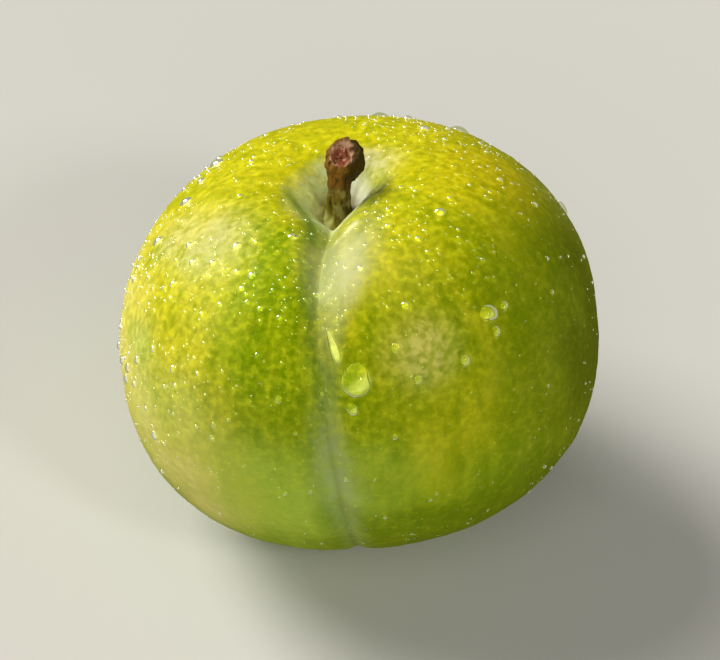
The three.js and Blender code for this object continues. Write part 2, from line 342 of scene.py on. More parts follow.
# painted shade: a deeper green band round the fruit just above where it rests
deep = smoothstep(-0.20, -0.44, uz + 0.05 * patch_b) * smoothstep(-0.93, -0.70, uz) * (0.30 + 0.60 * smoothstep(-0.30, 0.25, ux + 0.10 * patch))
deep = np.maximum(deep, 0.80 * smoothstep(-0.44, -0.52, uz) * smoothstep(-0.80, -0.60, uz) * smoothstep(-0.35, 0.0, ux) * smoothstep(0.60, 0.40, ux) * smoothstep(0.2, -0.3, uy))
pale = pale * (1 - 0.75 * deep)
pale = np.clip(pale + 0.28 * np.exp(-((np.linalg.norm(directions - unit(np.array([0.30, -0.95, -0.08])), axis=1) / 0.14) ** 2)), 0, 1)

# waxy bloom: in the cavity, along the suture, and a thin veil in places; with painted shade and painted light on the
# cavity's walls and a painted highlight on the suture's right lip
funnel = np.hypot(x, (y + 0.4) / 1.15)
bloom_cavity = smoothstep(5.8, 2.6, funnel + 0.5 * patch_b + 0.5 * smoothstep(0, 2, x)) * smoothstep(3, 10, z)
# the cavity's left wall, in shade: its bloom is made whiter, as painted light
bloom_left_painted_light = smoothstep(1.0, -1.2, x) * bloom_cavity
bloom_cavity = bloom_cavity * (1 - 0.70 * smoothstep(2.6, 3.8, funnel) * smoothstep(0, 2, x))
# painted shade on the cavity's right wall
cavity_shade = smoothstep(2.5, 3.1, funnel) * smoothstep(5.6, 4.0, funnel) * smoothstep(0.5, 2.2, x) * smoothstep(3, 10, z)
bloom_deep = smoothstep(3.7, 2.2, funnel) * smoothstep(3, 10, z) * smoothstep(-1.5, 1.0, x)
# the suture's right lip: bloom with a painted highlight over it
lip_middle = ramp([[0.3, 1.9], [0.7, 1.9], [0.85, 1.6], [1.0, 1.2], [1.3, 0.9], [3.15, 0.9]], angle)
lip_half = ramp([[0.3, 2.8], [0.7, 2.8], [0.85, 2.0], [1.0, 1.2], [1.3, 0.8], [3.15, 0.8]], angle)
lip_strength = ramp([[0, 0], [0.34, 0.10], [0.44, 0.55], [0.55, 0.95], [0.76, 1], [0.88, 0.62], [1.05, 0.35], [1.3, 0.12], [1.5, 0], [3.15, 0]], angle)
lip_bloom_painted_highlight = np.exp(-(np.abs((off_suture - lip_middle) / lip_half) ** 3)) * lip_strength * on_front
# painted light and shade on the lip: painted shade beside the crease, a painted highlight further out
lip_painted_light_shade = on_front * (0.20 * np.exp(-(((off_suture - 2.9) / 0.9) ** 2)) * ramp([[0, 0], [0.45, 0.2], [0.62, 1], [0.82, 1], [0.92, 0], [3.15, 0]], angle)
                        - 0.62 * smoothstep(0.0, 0.5, off_suture) * smoothstep(2.4, 0.9, off_suture) * ramp([[0, 0], [0.38, 0.5], [0.45, 0.85], [0.60, 1], [0.70, 0.9], [0.78, 0.35], [0.86, 0], [3.15, 0]], angle)
                        - 0.40 * smoothstep(2.9, 3.7, off_suture) * smoothstep(6.0, 4.6, off_suture) * smoothstep(0.15, 0.24, angle) * smoothstep(0.52, 0.42, angle))
# painted highlights in streaks along the rim and just below it, and painted shade round them
rim_highlight_streak = line_distance([[0.05, -4.40], [0.65, -4.50], [1.00, -4.55], [1.60, -4.20]], x, y, z)
lip_highlight_streak = line_distance([[0.80, -8.15], [1.40, -7.65], [1.85, -7.10], [2.40, -6.60]], x, y, z)
lip_painted_light_shade = lip_painted_light_shade - 0.34 * on_front * np.exp(-(((angle - 0.46) / 0.07) ** 2)) * smoothstep(0.9, 1.5, off_suture) * smoothstep(4.4, 3.2, off_suture)
lip_painted_light_shade = lip_painted_light_shade - 0.80 * on_front * np.exp(-(((off_suture - 0.80) / 0.58) ** 2)) * ramp([[0, 0], [0.80, 0], [0.90, 0.60], [1.00, 1.0], [1.16, 0.95], [1.26, 0.35], [1.36, 0], [3.15, 0]], angle)
lip_painted_light_shade = lip_painted_light_shade + 0.36 * np.exp(-((rim_highlight_streak / 0.34) ** 2)) + 0.80 * np.exp(-((lip_highlight_streak / 0.46) ** 2))
# patches where the bloom was left on, the first three also painted highlights on the left lobe and the right lobe:
# direction, radius in mm, strength
haze = np.zeros(len(directions))
for direction, radius, strength in (
    ((-0.57, -0.35, 0.74), 3.7, 0.36), ((-0.71, -0.20, 0.67), 3.0, 0.30), ((0.38, -0.82, 0.42), 2.7, 0.56), ((0.21, 0.13, 0.97), 1.7, 0.36), ((0.12, 0.17, 0.98), 1.3, 0.66), ((-0.72, -0.40, 0.20), 3.6, 0.10),
    ((0.35, 0.75, 0.56), 4.5, 0.34), ((-0.62, 0.62, 0.48), 3.8, 0.30), ((0.84, 0.30, 0.45), 3.4, 0.26), ((0.10, 0.98, 0.05), 5.0, 0.24),
):
    middle = fruit_point(unit(np.array([direction])))[0]
    haze = np.maximum(haze, strength * np.exp(-((np.linalg.norm(fruit_own - middle, axis=1) / radius) ** 2.6)))
stripe_width = ramp([[0, 1.2], [0.5, 1.0], [1.0, 0.8], [1.25, 1.0], [1.5, 1.55], [1.64, 1.8], [1.8, 1.8], [2.0, 1.1], [2.4, 1.0], [3.15, 1.2]], angle) * (1 + 0.12 * patch_b)
stripe_strength = ramp([[0, 0.3], [0.6, 0.22], [1.0, 0.15], [1.2, 0.15], [1.37, 0.55], [1.5, 0.95], [1.7, 1.0], [1.85, 0.75], [2.05, 0.5], [2.3, 0.5], [3.0, 0.5], [3.15, 0.3]], angle)
bloom_stripe = on_front * stripe_strength * np.exp(-(np.abs((off_suture - 0.15) / stripe_width) ** 2.4))
# painted shade in the crease: deeper green just left of the suture, a line near the cavity, and the stripe's edge lower
# down
crease_middle = ramp([[0, 0.9], [0.46, 0.95], [0.65, 1.1], [0.8, 0.8], [1.0, 0.7], [1.2, 0.7], [1.3, 2.2], [1.5, 1.9], [1.64, 1.6], [1.8, 1.3], [2.0, 1.0], [3.15, 0.8]], angle)
crease_half = ramp([[0, 1.0], [0.5, 0.9], [0.8, 0.8], [1.15, 0.7], [1.35, 1.2], [1.8, 1.2], [2.1, 0.8], [3.15, 0.8]], angle)
crease_painted_shade = on_front * (1 - 0.35 * np.exp(-(((angle - 0.56) / 0.09) ** 2))) * np.exp(-(((off_suture + crease_middle) / crease_half) ** 2)) * ramp([[0, 0.2], [0.25, 0.6], [0.4, 0.72], [0.9, 0.75], [1.15, 0.5], [1.25, 0.2], [1.4, 0.35], [1.6, 0.45], [1.9, 0.5], [2.1, 0.5], [2.6, 0.0], [3.15, 0.0]], angle)
# painted shade: a dark line along the fold in the cavity's right wall
fold_painted_shade = np.exp(-((line_distance(FOLD_LINE, x, y, z) / 0.36) ** 2)) * smoothstep(2.2, 3.0, x) * smoothstep(5.9, 4.6, x)
# painted shade: a dark line along the shallow fold by the cavity's left rim
rim = line_distance(RIM_LINE, x, y, z)
rim_painted_shade = 0.46 * np.exp(-((rim / 0.50) ** 2)) * smoothstep(0.6, -0.8, y) * smoothstep(-9.2, -5.5, y) + 0.34 * np.exp(-((rim / 1.5) ** 2)) * smoothstep(1.0, -2.0, y) * smoothstep(-9.5, -7.5, y)
# painted shade: a dark line in the bottom of the suture's groove, lower down
groove_painted_shade = on_front * np.exp(-(((off_suture - 0.10) / 0.30) ** 2)) * ramp([[0, 0], [1.3, 0], [1.6, 0.22], [2.0, 0.35], [2.8, 0.5], [3.15, 0]], angle)
# painted light: the far left and a patch low on the left made creamy, as if lit from the left
sunlit_left_painted_light = 0.85 * smoothstep(0.74, 0.95, -ux + 0.03 * patch_b) * smoothstep(-0.6, 0.0, uz)
for direction, size, strength in (((-0.64, -0.76, 0.02), 0.30, 0.45), ((-0.72, -0.68, -0.13), 0.30, 0.60), ((-0.53, -0.64, 0.55), 0.17, 0.28), ((0.28, -0.63, 0.73), 0.16, 0.24)):
    sunlit_left_painted_light = np.maximum(sunlit_left_painted_light, strength * np.exp(-((np.linalg.norm(directions - unit(np.array(direction)), axis=1) / size) ** 2)))
# painted shade: the far right cheek, turned away from the key light, darkened to the darkest green
right_cheek_painted_shade = smoothstep(0.86, 0.99, ux + 0.03 * patch_b) * smoothstep(0.70, 0.40, uz) * smoothstep(-0.70, -0.40, uz)
right_cheek_painted_shade = np.maximum(right_cheek_painted_shade, 0.5 * np.exp(-((np.linalg.norm(directions - unit(np.array([0.893, -0.121, 0.433])), axis=1) / 0.16) ** 2)))
# how strongly the skin is mottled: most on the upper left and round the cavity, least on the right cheek
lively = smoothstep(-0.25, 0.45, uz) * (1 - 0.85 * smoothstep(0.50, 0.78, ux) * smoothstep(0.85, 0.60, uz))
lively = 0.22 + 0.78 * lively
# painted light: the palest, creamiest skin, low on the far left
low_left_painted_light = 0.50 * smoothstep(0.82, 0.95, -ux + 0.02 * patch_b) * smoothstep(-0.30, 0.0, uz) * smoothstep(0.56, 0.30, uz) * smoothstep(0.45, 0.10, uy)
for direction, size, strength in (((-0.86, -0.50, -0.06), 0.22, 0.80), ((-0.76, -0.61, -0.22), 0.19, 0.90), ((-0.62, -0.70, -0.36), 0.17, 0.92), ((-0.86, -0.42, 0.32), 0.12, 0.30), ((-0.66, -0.75, 0.06), 0.20, 0.30), ((-0.66, -0.72, -0.20), 0.16, 0.92)):
    low_left_painted_light = np.maximum(low_left_painted_light, strength * np.exp(-((np.linalg.norm(directions - unit(np.array(direction)), axis=1) / size) ** 2)))
style_spot = np.exp(-(np.hypot(x - STYLE_X, y - STYLE_Y) / 1.1) ** 2) * smoothstep(-6, -12, z)
core_ring = smoothstep(2.6, 1.3, rho) * smoothstep(5, 11, z)

for attribute, values in (
    ("yellow", yellow), ("olive", olive), ("pale", pale), ("bloom_cavity", bloom_cavity),
    ("bloom_stripe", bloom_stripe), ("crease_painted_shade", crease_painted_shade), ("style_spot", style_spot), ("core_ring", core_ring),
    ("bloom_deep", bloom_deep), ("lip_bloom_painted_highlight", lip_bloom_painted_highlight), ("lip_painted_light_shade", lip_painted_light_shade), ("golden", golden), ("bloom_left_painted_light", bloom_left_painted_light), ("cavity_shade", cavity_shade), ("groove_painted_shade", groove_painted_shade), ("fold_painted_shade", fold_painted_shade), ("rim_painted_shade", rim_painted_shade), ("low_left_painted_light", low_left_painted_light), ("haze", haze), ("lively", lively), ("deep", deep), ("sunlit_left_painted_light", sunlit_left_painted_light), ("right_cheek_painted_shade", right_cheek_painted_shade),
):
    put(fruit.data, attribute, values)
put(fruit.data, "own_mm", fruit_own, "FLOAT_VECTOR")
# streaks run from the stem end to the style end
azimuth = np.arctan2(uy, ux)
put(fruit.data, "streak_mm", np.stack([np.cos(azimuth) * 20, np.sin(azimuth) * 20, angle * 4.0], -1), "FLOAT_VECTOR")


# ------------------------------------------------------------------ the stem

STEM_LINE = np.array([[0.12, 0.12, 12.15], [0.18, 0.06, 13.2], [0.28, -0.08, 14.6], [0.48, -0.34, 16.2], [0.80, -0.66, 18.0], [1.30, -1.10, 19.75]])
STEM_RADIUS = [[0, 1.75], [0.05, 1.42], [0.12, 1.18], [0.25, 1.04], [0.42, 0.98], [0.56, 1.04], [0.70, 1.22], [0.82, 1.47], [0.92, 1.56], [0.98, 1.46], [1, 1.34]]
STEM_CUT = (0.42, 0.50)   # how much the broken end rises towards +X and +Y


def curve_through(points, t):
    """Catmull-Rom through points, by share of its length."""
    padded = np.vstack([2 * points[0] - points[1], points, 2 * points[-1] - points[-2]])

    def at(s):
        i = np.clip(s.astype(int), 0, len(points) - 2)
        f = (s - i)[:, None]
        p0, p1, p2, p3 = padded[i], padded[i + 1], padded[i + 2], padded[i + 3]
        return 0.5 * (2 * p1 + (p2 - p0) * f + (2 * p0 - 5 * p1 + 4 * p2 - p3) * f**2 + (3 * p1 - p0 - 3 * p2 + p3) * f**3)

    s = np.linspace(0, len(points) - 1, 400)
    dense = at(s)
    length = np.concatenate([[0], np.cumsum(np.linalg.norm(np.diff(dense, axis=0), axis=1))])
    return at(np.interp(t * length[-1], length, s))


def make_stem():
    sides, steps, rings = 96, 110, 16
    t = np.linspace(0, 1, steps + 1)
    centre = curve_through(STEM_LINE, t)
    tangent = unit(np.gradient(centre, axis=0))
    side = unit(np.array([1.0, 0, 0]) - tangent * tangent[:, :1])
    back = np.cross(tangent, side)
    a = np.linspace(0, 2 * np.pi, sides, endpoint=False)
    bark = Noise(0.9, seed=21)
    grain = Noise(0.42, seed=22)
    ridges = 0.55 * np.sin(9 * a) + 0.35 * np.sin(14 * a + 1.3) + 0.3 * np.sin(23 * a + 0.4)
    radius = ramp(STEM_RADIUS, t)
    out = np.zeros((steps + 1, sides, 3))
    for i in range(steps + 1):
        swollen = float(smoothstep(0.5, 0.9, t[i]))
        oval = 1 + swollen * (0.08 * np.cos(a - 0.6) + 0.07 * np.cos(2 * a + 0.4) + 0.045 * np.sin(3 * a + 1.1))
        # furrows along the shaft, deeper where the stem has dried, and rings of scars below the swollen end
        furrow = (0.040 + 0.035 * (1 - swollen)) * ridges * (1 - 0.85 * float(smoothstep(0.16, 0.02, t[i])))
        collar = 0.05 * np.sin(34 * t[i] + 0.8 * np.sin(2 * a)) * float(smoothstep(0.5, 0.7, t[i])) * float(smoothstep(0.99, 0.9, t[i]))
        # an overhang on the right, under the swelling
        turned = (a + np.pi) % (2 * np.pi) - np.pi
        bulge = 0.38 * np.exp(-((turned / 0.85) ** 2)) * float(smoothstep(0.58, 0.70, t[i])) * float(smoothstep(0.97, 0.77, t[i]))
        # and rounded off at the back right of the end
        bulge = bulge - 0.32 * np.exp(-(((turned - 0.5) / 0.8) ** 2)) * float(smoothstep(0.84, 1.0, t[i]))
        d = side[i] * np.cos(a)[:, None] + back[i] * np.sin(a)[:, None]
        base = centre[i] + d * (radius[i] * oval + bulge)[:, None]
        rough = 0.05 * bark(base * np.array([1, 1, 0.45])) + 0.03 * grain(base * np.array([1, 1, 0.4]))
        out[i] = centre[i] + d * (radius[i] * oval + bulge + furrow + collar + rough)[:, None]
    # the end is broken off at a slant, and the swelling leans with it
    slant = smoothstep(0.62, 1.0, t)[:, None] ** 1.5
    reach = out - centre[:, None]
    rise = (reach @ side[-1]) * STEM_CUT[0] + (reach @ back[-1]) * STEM_CUT[1]
    out = out + tangent[-1] * (slant * rise)[..., None]
    verts = [out.reshape(-1, 3)]
    faces, fans = [], []
    for i in range(steps):
        for j in range(sides):
            k = (j + 1) % sides
            faces.append((i * sides + j, i * sides + k, (i + 1) * sides + k, (i + 1) * sides + j))
    # the broken end: a raised rim, then a shallow cup with a bump of old tissue in it
    end, tip, n0 = out[-1], centre[-1], (steps + 1) * sides
    cup_noise = Noise(0.7, seed=23)
    scar = np.full((steps + 1) * sides, 0.0)
    prev = steps * sides
    for r in range(1, rings):
        f = 1 - r / rings
        ring = tip + (end - tip) * f
        lift = 0.10 * math.exp(-(((f - 0.93) / 0.06) ** 2)) - 0.42 * float(smoothstep(0.95, 0.45, f)) + 0.20 * math.exp(-((f / 0.30) ** 2))
        ring = ring + tangent[-1] * lift + tangent[-1] * (0.09 * cup_noise(ring) * float(smoothstep(0, 0.2, 1 - f)))[:, None]
        verts.append(ring)
        for j in range(sides):
            k = (j + 1) % sides
            faces.append((prev + j, prev + k, n0 + k, n0 + j))
        scar = np.concatenate([scar, np.full(sides, float(smoothstep(1.0, 0.93, f)))])
        prev, n0 = n0, n0 + sides
    verts.append((tip + tangent[-1] * -0.22)[None])
    scar = np.concatenate([scar, [1.0]])
    for j in range(sides):
        fans.append((prev + j, prev + (j + 1) % sides, n0))
    # the foot, hidden inside the fruit
    foot = n0 + 1
    verts.append((centre[0] - tangent[0] * 0.1)[None])
    scar = np.concatenate([scar, [0.0]])
    for j in range(sides):
        fans.append(((j + 1) % sides, j, foot))
    verts = np.concatenate(verts)
    # the scar itself lies towards the front left of the broken end, ringed by bark
    flat = verts - tip
    away = np.hypot((flat @ side[-1] + 0.26) / 0.95, (flat @ back[-1] + 0.24) / 1.10)
    ring = scar * np.exp(-(((away - 1.0) / 0.17) ** 2))
    scar = scar * smoothstep(1.10, 0.90, away)
    along = np.concatenate([np.repeat(t, sides), np.ones(len(verts) - (steps + 1) * sides - 1), [0.0]])
    around = np.concatenate([np.tile(a, steps + 1), np.tile(a, rings - 1), [0.0, 0.0]])
    obj = make_mesh("stem_wood", rest(verts) * MM, faces, fans)
    put(obj.data, "own_mm", verts, "FLOAT_VECTOR")
    put(obj.data, "along", along)
    put(obj.data, "scar", scar)
    put(obj.data, "scar_ring", ring)
    put(obj.data, "round_mm", np.stack([np.cos(around) * 1.4, np.sin(around) * 1.4, along * 1.6], -1), "FLOAT_VECTOR")
    return obj


stem = make_stem()


# ----------------------------------------------------------- the water drops

def frames_at(u):
    """The skin at each direction: point at rest, normal, and the way down along the skin, mm."""
    ref = np.where(np.abs(u[:, 2:]) < 0.9, [[0.0, 0, 1]], [[1.0, 0, 0]])
    s = unit(np.cross(ref, u))
    v = np.cross(u, s)
    e = 0.012
    q = press_flat(rest(fruit_point(unit(np.stack([u, u + e * s, u - e * s, u + e * v, u - e * v])))))
    n = unit(np.cross(q[1] - q[2], q[3] - q[4]))
    down = np.array([0.0, 0, -1]) - n * -n[:, 2:]
    level = np.linalg.norm(down, axis=1) < 0.05
    down[level] = np.cross(n[level], [0.0, 1, 0])
    return q[0], n, unit(down)


def scatter(count):
    """Directions spread evenly by area over the skin."""
    tri = np.concatenate([quads[:, [0, 1, 2]], quads[:, [0, 2, 3]]])
    p = fruit_rest[tri]
    area = np.linalg.norm(np.cross(p[:, 1] - p[:, 0], p[:, 2] - p[:, 0]), axis=1)
    pick = rng.choice(len(tri), size=count, p=area / area.sum())
    a, b = rng.random(count), rng.random(count)
    flip = a + b > 1
    a[flip], b[flip] = 1 - a[flip], 1 - b[flip]
    return unit((directions[tri[pick]] * np.stack([1 - a - b, a, b], -1)[..., None]).sum(1))


def beads(point, normal, down, radius, contact, stretch, taper, wobble, rings, sides, start):
    """Closed beads of water, one for each row: a cap that meets the skin at its contact angle, and a flat underside just below the skin."""
    count = len(point)
    a = np.linspace(0, 2 * np.pi, sides, endpoint=False)
    f = 1 - np.arange(rings) / rings
    sphere = radius / np.sin(contact)
    t = contact[:, None] * f                                                     # count x rings
    across, up = sphere[:, None] * np.sin(t), sphere[:, None] * (np.cos(t) - np.cos(contact)[:, None])
    sag = 1 - 0.10 * np.minimum(radius, 1.2)                                     # larger beads lie flatter
    up = up * sag[:, None]
    edge = 1 + wobble[:, :1] * np.cos(2 * a + wobble[:, 1:2]) + 0.7 * wobble[:, :1] * np.cos(3 * a + wobble[:, 2:3])
    ring = across[:, :, None] * (1 + (edge[:, None, :] - 1) * f[None, :, None])
    x = ring * np.cos(a) * (1 + taper[:, None, None] * np.sin(a))                 # across the slope, wider below where it tapers
    y = ring * np.sin(a) * stretch[:, None, None]                                 # down the slope
    lean = (1 - np.abs(normal[:, 2])) * 0.30 * np.minimum(radius, 1.0)           # and hang forward a little on a steep skin
    y = y + (up / np.maximum(radius[:, None], 1e-6) * lean[:, None] * radius[:, None])[:, :, None]
    z = np.repeat(up[:, :, None], sides, 2)
    top = np.stack([np.zeros(count), sphere * (1 - np.cos(contact)) * sag / np.maximum(radius, 1e-6) * lean * radius, sphere * (1 - np.cos(contact)) * sag], -1)
    sunk = 0.03 + 0.06 * radius
    low = np.stack([x[:, 0] * 0.92, y[:, 0] * 0.92, np.repeat(-sunk[:, None], sides, 1)], -1)
    shape = np.concatenate([low, np.stack([x, y, z], -1).reshape(count, -1, 3), top[:, None]], 1)
    side = np.cross(down, normal)
    verts = point[:, None] + shape[..., :1] * side[:, None] + shape[..., 1:2] * down[:, None] + shape[..., 2:] * normal[:, None]
    j = np.arange(sides)
    k = (j + 1) % sides
    q = [np.stack([i * sides + k, i * sides + j, (i + 1) * sides + j, (i + 1) * sides + k], -1) for i in range(rings)]
    fan = np.stack([rings * sides + k, rings * sides + j, np.full(sides, (rings + 1) * sides)], -1)
    base = start + np.arange(count)[:, None, None] * shape.shape[1]
    return verts.reshape(-1, 3), (base + np.concatenate(q)).reshape(-1, 4), (base + fan).reshape(-1, 3), (base + j[None, None]).reshape(-1, sides)


class Beads:
    """Collects beads that don't touch each other."""

    def __init__(self):
        self.cells = {}

    def free(self, p, radius, gap):
        c = tuple((p // 2.5).astype(int))
        for i in (-1, 0, 1):
            for j in (-1, 0, 1):
                for k in (-1, 0, 1):
                    for q, r in self.cells.get((c[0] + i, c[1] + j, c[2] + k), ()):
                        if np.dot(p - q, p - q) < ((r + radius) * gap) ** 2:
                            return False
        return True

    def take(self, p, radius):
        self.cells.setdefault(tuple((p // 2.5).astype(int)), []).append((p, radius))


wet = Noise(9, seed=31)
found = Beads()


def settle(want, low, high, gap, few_below=0.08):
    """Picks where beads of one size settle: mostly on what faces up and the light, none in the cavity or underneath."""
    u = scatter(want * 6)
    p, n, down = frames_at(u)
    own = (p - SHIFT) @ POSE
    chance = few_below + (1 - few_below) * smoothstep(-0.1, 0.85, n @ unit(np.array([-0.62, 0.10, 0.78]))) * (0.62 + 0.38 * wet(p))
    in_cavity = (own[:, 2] > 6) & (np.hypot(own[:, 0], own[:, 1]) < 4.6)
    ok = (rng.random(len(u)) < chance) & ~in_cavity & (n[:, 2] > -0.55) & (p[:, 2] > 1.5)
    radius = low + (high - low) * rng.random(len(u)) ** 1.8
    keep = []
    for i in np.flatnonzero(ok):
        if len(keep) >= want:
            break
        if found.free(p[i], radius[i], gap):
            found.take(p[i], radius[i])
            keep.append(i)
    return p[keep], n[keep], down[keep], radius[keep]


def water(name, batches):
    verts, fours, threes, bottoms, start = [], [], [], {}, 0
    for (p, n, down, radius), contact, stretch, taper, unevenness, rings, sides in batches:
        m = len(p)
        contact = np.radians(rng.uniform(*contact, m) if isinstance(contact, tuple) else contact)
        stretch = rng.uniform(*stretch, m) if isinstance(stretch, tuple) else stretch
        taper = np.zeros(m) if taper is None else taper
        uneven = rng.normal(0, 1, m) if np.ndim(unevenness) == 0 else 1
        wobble = np.stack([uneven * unevenness, rng.uniform(0, 6.28, m), rng.uniform(0, 6.28, m)], -1)
        v, q, t, b = beads(p, n, down, radius, contact, stretch, taper, wobble, rings, sides, start)
        verts.append(v)
        fours.append(q)
        threes.append(t)
        bottoms.setdefault(sides, []).append(b)
        start += len(v)
    return make_mesh(name, np.concatenate(verts) * MM, np.concatenate(fours), np.concatenate(threes), *[np.concatenate(b) for b in bottoms.values()])


# the larger beads that stand out: direction from the fruit's middle, radius, how drawn out each is, contact angle, taper and turn in degrees
LARGE = [
    ((0.014, -0.868, 0.495), 0.42, 3.9, 76, 0.50, 47), ((0.105, -0.925, 0.36), 1.42, 0.98, 52, 0.14, 20), ((0.085, -0.965, 0.245), 0.50, 1.2, 58, 0.1, 30),
    ((0.64, -0.62, 0.47), 0.92, 0.85, 60, 0.1, -20), ((0.665, -0.645, 0.395), 0.44, 1.1, 64, 0, 0), ((0.70, -0.56, 0.465), 0.42, 1.0, 62, 0, 0), ((0.54, -0.77, 0.34), 0.50, 1.15, 66, 0.1, 0),
    ((-0.72, 0.07, 0.69), 0.62, 1.1, 58, 0, 0), ((-0.60, 0.35, 0.70), 0.75, 1.1, 56, 0, 0), ((-0.66, 0.20, 0.71), 0.45, 1.0, 60, 0, 0), ((-0.80, -0.10, 0.57), 0.52, 1.2, 60, 0.1, 0),
    ((0.10, 0.70, 0.72), 0.80, 1.1, 55, 0, 0), ((0.45, 0.62, 0.64), 0.95, 1.15, 54, 0.1, 15), ((-0.30, 0.85, 0.42), 0.85, 1.3, 58, 0.2, 0), ((0.85, 0.40, 0.33), 0.80, 1.3, 58, 0.2, 0),
    ((-0.93, 0.30, 0.20), 0.75, 1.35, 60, 0.2, 0), ((0.20, 0.95, 0.20), 0.70, 1.4, 60, 0.25, 0), ((-0.20, -0.45, 0.87), 0.45, 1.0, 60, 0, 0), ((0.47, -0.30, 0.83), 0.50, 1.0, 60, 0, 0),
]
p, n, down = frames_at(unit(np.array([row[0] for row in LARGE])))
sizes, drawn, contacts, tapers, turns = np.array([row[1:] for row in LARGE], float).T
down = down * np.cos(np.radians(turns))[:, None] + np.cross(n, down) * np.sin(np.radians(turns))[:, None]
for q, r, k in zip(p, sizes, drawn):
    found.take(q, r * max(1, k * 0.7))
bent = np.where(sizes > 0.6, 0.07, 0.04)
bent[1] = 0.12
large = ((p, n, down, sizes), contacts, drawn, tapers, bent, 12, 32)
medium = (settle(44, 0.28, 0.46, 1.2), (60, 78), (0.95, 1.25), None, 0.055, 7, 20)
small = (settle(230, 0.14, 0.27, 1.15), (66, 84), (0.95, 1.15), None, 0.045, 5, 14)
mist = (settle(1600, 0.06, 0.14, 1.1), (56, 80), (0.97, 1.08), None, 0.04, 3, 8)

# the skin under a large bead: lighter on the side away from the window, where the bead gathers the light, and darker towards it
window = unit(np.array([-0.62, 0.42, 0.66]))
drop_light = np.zeros(len(fruit_rest))
for q, m, d, r, k in zip(p, n, down, sizes, drawn):
    away = -(window - m * (window @ m))
    away = away / np.linalg.norm(away)
    rel = fruit_rest - q
    wide = np.cross(d, m)
    far = np.hypot(rel @ wide / r, rel @ d / (r * k))
    lean = np.clip((rel @ away) / (r * (1 + 0.5 * (k - 1) * abs(away @ d))), -1, 1)
    inside = smoothstep(1.12, 0.80, far) * (np.abs(rel @ m) < 1 + r)
    value = inside * (0.62 * smoothstep(-0.25, 0.80, lean) - 0.45 * smoothstep(-0.15, -0.8, lean))
    if k > 3:   # the long streak is lit all through
        value = inside * (0.46 + 0.26 * smoothstep(-0.4, 0.6, lean))
    drop_light = np.where(np.abs(value) > np.abs(drop_light), value, drop_light)
put(fruit.data, "drop_light", drop_light)

drops = water("water_drops", [large, medium, small])
haze = water("water_mist", [mist])


# ----------------------------------------------------------------- materials

class Nodes:
    """Short way to write a node tree."""

    def __init__(self, name):
        self.material = bpy.data.materials.new(name)
        self.material.use_nodes = True
        self.tree = self.material.node_tree
        self.tree.nodes.clear()
        self.out = self.tree.nodes.new("ShaderNodeOutputMaterial")

    def new(self, kind, props=None, **inputs):
        node = self.tree.nodes.new(kind)
        for key, value in (props or {}).items():
            setattr(node, key, value)
        for key, value in inputs.items():
            self.set(node, key.replace("_", " "), value)
        return node

    def set(self, node, key, value):
        socket = node.inputs[int(key[1:])] if key[0] == "#" else node.inputs[key]
        if isinstance(value, bpy.types.NodeSocket):
            self.tree.links.new(value, socket)
        elif isinstance(value, (tuple, list)) and len(value) == 3 and socket.type == "RGBA":
            socket.default_value = (*value, 1)
        else:
            socket.default_value = value

    def attribute(self, name, vector=False):
        node = self.new("ShaderNodeAttribute", {"attribute_name": name})
        return node.outputs["Vector" if vector else "Fac"]

    def math(self, op, a, b=0.0, c=0.0, clamp=False):
        node = self.new("ShaderNodeMath", {"operation": op, "use_clamp": clamp})
        for i, v in enumerate((a, b, c)):
            self.set(node, f"#{i}", v)
        return node.outputs[0]

    def step(self, value, low, high, out_low=0.0, out_high=1.0):
        """Smoothstep from low to high."""
        node = self.new("ShaderNodeMapRange", {"interpolation_type": "SMOOTHSTEP", "clamp": True})
        for key, v in (("Value", value), ("From Min", low), ("From Max", high), ("To Min", out_low), ("To Max", out_high)):
            self.set(node, key, v)
        return node.outputs["Result"]

    def mix(self, factor, a, b, blend="MIX"):
        node = self.new("ShaderNodeMix", {"data_type": "RGBA", "blend_type": blend, "clamp_factor": True})
        for socket in node.inputs:
            if socket.name == "Factor" and socket.type == "VALUE":
                self.put(socket, factor)
            if socket.name == "A" and socket.type == "RGBA":
                self.put(socket, a)
            if socket.name == "B" and socket.type == "RGBA":
                self.put(socket, b)
        return [s for s in node.outputs if s.type == "RGBA"][0]

    def put(self, socket, value):
        if isinstance(value, bpy.types.NodeSocket):
            self.tree.links.new(value, socket)
        elif isinstance(value, (tuple, list)):
            socket.default_value = (*value, 1)[:4]
        else:
            socket.default_value = value

    def noise(self, vector, scale, detail=3.0, roughness=0.5, distortion=0.0, output="Fac"):
        node = self.new("ShaderNodeTexNoise", {"noise_dimensions": "3D"}, Vector=vector, Scale=scale, Detail=detail, Roughness=roughness, Distortion=distortion)
        return node.outputs[output]

    def voronoi(self, vector, scale, output="Distance", randomness=1.0, feature="F1"):
        node = self.new("ShaderNodeTexVoronoi", {"voronoi_dimensions": "3D", "feature": feature}, Vector=vector, Scale=scale, Randomness=randomness)
        return node.outputs[output]

    def channel(self, color, name="Red"):
        node = self.new("ShaderNodeSeparateColor", Color=color)
        return node.outputs[name]


